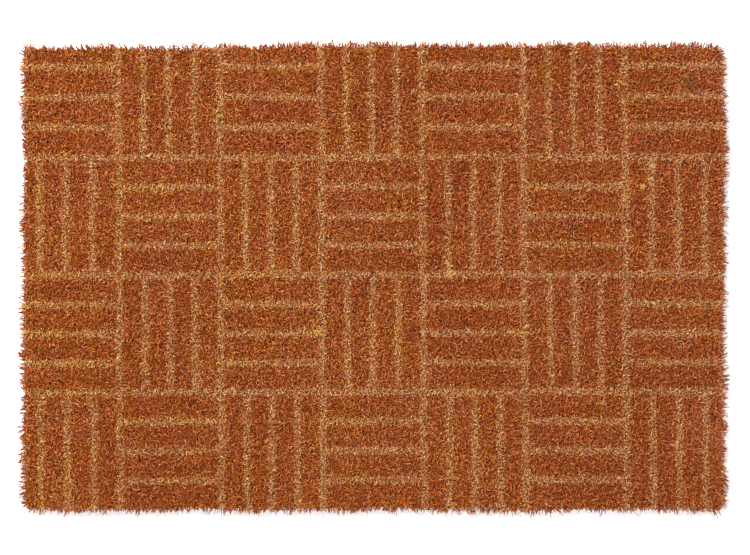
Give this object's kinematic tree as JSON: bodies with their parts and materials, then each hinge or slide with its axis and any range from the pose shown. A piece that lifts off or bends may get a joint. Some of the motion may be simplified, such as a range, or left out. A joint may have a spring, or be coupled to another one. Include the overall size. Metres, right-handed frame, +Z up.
{
  "type": "door mat",
  "caption": "Rectangular coir door mat: short cut pile of rust fibre with inlaid natural-colour lines in a basket-weave pattern, rooted in a flat PVC backing.",
  "frame": {"origin": "centre of the mat's underside", "axes": "+X along the mat's length, +Y across its width, +Z up out of the pile"},
  "size_m": [0.6, 0.4, 0.016],
  "materials": {
    "rust_coir": "matte, stiff cut pile of rust-dyed coir fibre",
    "natural_coir": "matte, stiff cut pile of natural golden coir fibre",
    "pvc": "matte, soft dark brown PVC with a fine embossed underside"
  },
  "bodies": {
    "root": {"pvc_backing": "pvc", "rust_pile_r1c1": "rust_coir", "rust_pile_r1c2": "rust_coir", "rust_pile_r1c3": "rust_coir", "rust_pile_r1c4": "rust_coir", "rust_pile_r1c5": "rust_coir", "rust_pile_r1c6": "rust_coir", "rust_pile_r1c7": "rust_coir", "rust_pile_r2c1": "rust_coir", "rust_pile_r2c2": "rust_coir", "rust_pile_r2c3": "rust_coir", "rust_pile_r2c4": "rust_coir", "rust_pile_r2c5": "rust_coir", "rust_pile_r2c6": "rust_coir", "rust_pile_r2c7": "rust_coir", "rust_pile_r3c1": "rust_coir", "rust_pile_r3c2": "rust_coir", "rust_pile_r3c3": "rust_coir", "rust_pile_r3c4": "rust_coir", "rust_pile_r3c5": "rust_coir", "rust_pile_r3c6": "rust_coir", "rust_pile_r3c7": "rust_coir", "rust_pile_r4c1": "rust_coir", "rust_pile_r4c2": "rust_coir", "rust_pile_r4c3": "rust_coir", "rust_pile_r4c4": "rust_coir", "rust_pile_r4c5": "rust_coir", "rust_pile_r4c6": "rust_coir", "rust_pile_r4c7": "rust_coir", "natural_pile_lattice": "natural_coir"}
  },
  "joints": []
}
